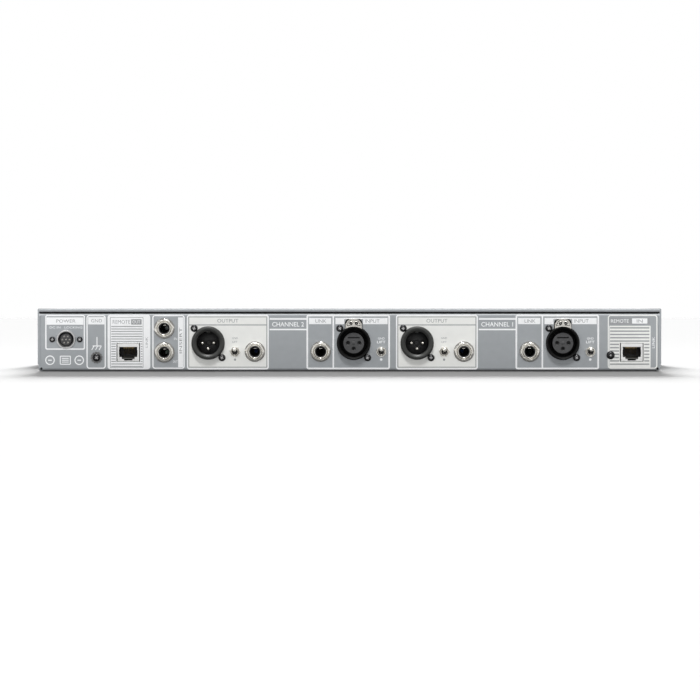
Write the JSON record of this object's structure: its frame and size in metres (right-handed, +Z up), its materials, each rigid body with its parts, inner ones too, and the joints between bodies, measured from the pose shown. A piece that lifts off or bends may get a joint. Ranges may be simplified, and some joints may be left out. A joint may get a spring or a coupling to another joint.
{
  "type": "microphone preamp",
  "caption": "Rack-mount microphone preamp, one unit high, with rear audio, network and power connectors and front gain, level and monitor controls.",
  "frame": {"origin": "centre of the case floor's underside, halfway between the rear wall and the front panel", "axes": "+X to the right as one looks at the connector side, +Y from the connector side to the control side, +Z up"},
  "size_m": [0.4826, 0.2245, 0.0439],
  "materials": {
    "grey_paint": "fine textured powder coat",
    "panel_paint": "satin paint",
    "black_foam": "matte",
    "black_screw": "black oxide",
    "nickel": "satin nickel",
    "steel": "plain",
    "black_metal": "satin black",
    "black_plastic": "moulded",
    "pin_metal": "silver plated",
    "jack_body": "moulded, nickel bushing",
    "board": "solder mask",
    "capacitor_sleeve": "shrink sleeve",
    "bare_aluminium": "anodised",
    "cable_grey": "ribbon",
    "knob_black": "soft satin",
    "button_grey": "satin",
    "window_dark": "smoked"
  },
  "bodies": {
    "case": {"board_screws": "steel", "board_standoffs": "nickel", "capacitors": "capacitor_sleeve", "chassis_tray": "grey_paint", "control_bodies": "black_plastic", "cover_gasket": "black_foam", "cover_screws": "black_screw", "front_board": "board", "front_jacks": "jack_body", "front_panel": "panel_paint", "ground_screw": "black_screw", "ground_washer": "steel", "heat_sink": "bare_aluminium", "input_xlr_inserts": "black_plastic", "input_xlr_shell_1": "black_metal", "input_xlr_shell_2": "black_metal", "jack_nuts": "nickel", "link_jack_1": "jack_body", "link_jack_2": "jack_body", "lower_jack": "jack_body", "main_board": "board", "meter_windows": "window_dark", "network_in_screw": "black_screw", "network_in_shield": "nickel", "network_inserts": "black_plastic", "network_out_shield": "nickel", "output_jack_1": "jack_body", "output_jack_2": "jack_body", "output_xlr_inserts": "black_plastic", "output_xlr_pins": "pin_metal", "output_xlr_shell_1": "black_metal", "output_xlr_shell_2": "black_metal", "panel_screws": "black_screw", "power_module": "steel", "power_socket_insert": "black_plastic", "power_socket_screws": "black_screw", "power_socket_shell": "nickel", "ribbon_cable": "cable_grey", "toggle_bodies": "nickel", "toggle_nuts": "nickel", "top_cover": "grey_paint", "upper_jack": "jack_body", "xlr_screws": "black_screw"},
    "output_toggle_2": {"output_toggle_2": "nickel"},
    "input_toggle_2": {"input_toggle_2": "nickel"},
    "output_toggle_1": {"output_toggle_1": "nickel"},
    "input_toggle_1": {"input_toggle_1": "nickel"},
    "input_xlr_latch_1": {"input_xlr_latch_1": "steel"},
    "input_xlr_latch_2": {"input_xlr_latch_2": "steel"},
    "gain_knob_1": {"gain_knob_1": "knob_black"},
    "gain_knob_2": {"gain_knob_2": "knob_black"},
    "level_knob_1": {"level_knob_1": "knob_black"},
    "level_knob_2": {"level_knob_2": "knob_black"},
    "phones_knob": {"phones_knob": "knob_black"},
    "phantom_button_1": {"phantom_button_1": "button_grey"},
    "filter_button_1": {"filter_button_1": "button_grey"},
    "phantom_button_2": {"phantom_button_2": "button_grey"},
    "filter_button_2": {"filter_button_2": "button_grey"},
    "power_button": {"power_button": "button_grey"}
  },
  "joints": [
    {"name": "output_toggle_2_throw", "type": "hinge", "parent": "case", "child": "output_toggle_2", "pos_m": [-0.0806, -0.0995, 0.0138], "axis": [1, 0, 0], "range_deg": [0, 24]},
    {"name": "input_toggle_2_throw", "type": "hinge", "parent": "case", "child": "input_toggle_2", "pos_m": [0.0224, -0.0995, 0.0138], "axis": [1, 0, 0], "range_deg": [0, 24]},
    {"name": "output_toggle_1_throw", "type": "hinge", "parent": "case", "child": "output_toggle_1", "pos_m": [0.0667, -0.0995, 0.0138], "axis": [1, 0, 0], "range_deg": [0, 24]},
    {"name": "input_toggle_1_throw", "type": "hinge", "parent": "case", "child": "input_toggle_1", "pos_m": [0.1697, -0.0995, 0.0138], "axis": [1, 0, 0], "range_deg": [0, 24]},
    {"name": "input_xlr_latch_2_press", "type": "slide", "parent": "case", "child": "input_xlr_latch_2", "axis": [0, 1, 0], "range_m": [0, 0.002], "stiffness_N_per_m": 600},
    {"name": "input_xlr_latch_1_press", "type": "slide", "parent": "case", "child": "input_xlr_latch_1", "axis": [0, 1, 0], "range_m": [0, 0.002], "stiffness_N_per_m": 600},
    {"name": "gain_knob_1_turn", "type": "hinge", "parent": "case", "child": "gain_knob_1", "pos_m": [0.164, 0.1015, 0.02195], "axis": [0, 1, 0], "range_deg": [-150, 150]},
    {"name": "gain_knob_2_turn", "type": "hinge", "parent": "case", "child": "gain_knob_2", "pos_m": [0, 0.1015, 0.02195], "axis": [0, 1, 0], "range_deg": [-150, 150]},
    {"name": "level_knob_1_turn", "type": "hinge", "parent": "case", "child": "level_knob_1", "pos_m": [0.086, 0.1015, 0.02195], "axis": [0, 1, 0], "range_deg": [-150, 150]},
    {"name": "level_knob_2_turn", "type": "hinge", "parent": "case", "child": "level_knob_2", "pos_m": [-0.078, 0.1015, 0.02195], "axis": [0, 1, 0], "range_deg": [-150, 150]},
    {"name": "phones_knob_turn", "type": "hinge", "parent": "case", "child": "phones_knob", "pos_m": [-0.14, 0.1015, 0.02195], "axis": [0, 1, 0], "range_deg": [-150, 150]},
    {"name": "phantom_button_1_press", "type": "slide", "parent": "case", "child": "phantom_button_1", "axis": [0, -1, 0], "range_m": [0, 0.0015], "stiffness_N_per_m": 400},
    {"name": "filter_button_1_press", "type": "slide", "parent": "case", "child": "filter_button_1", "axis": [0, -1, 0], "range_m": [0, 0.0015], "stiffness_N_per_m": 400},
    {"name": "phantom_button_2_press", "type": "slide", "parent": "case", "child": "phantom_button_2", "axis": [0, -1, 0], "range_m": [0, 0.0015], "stiffness_N_per_m": 400},
    {"name": "filter_button_2_press", "type": "slide", "parent": "case", "child": "filter_button_2", "axis": [0, -1, 0], "range_m": [0, 0.0015], "stiffness_N_per_m": 400},
    {"name": "power_button_press", "type": "slide", "parent": "case", "child": "power_button", "axis": [0, -1, 0], "range_m": [0, 0.002], "stiffness_N_per_m": 500}
  ]
}
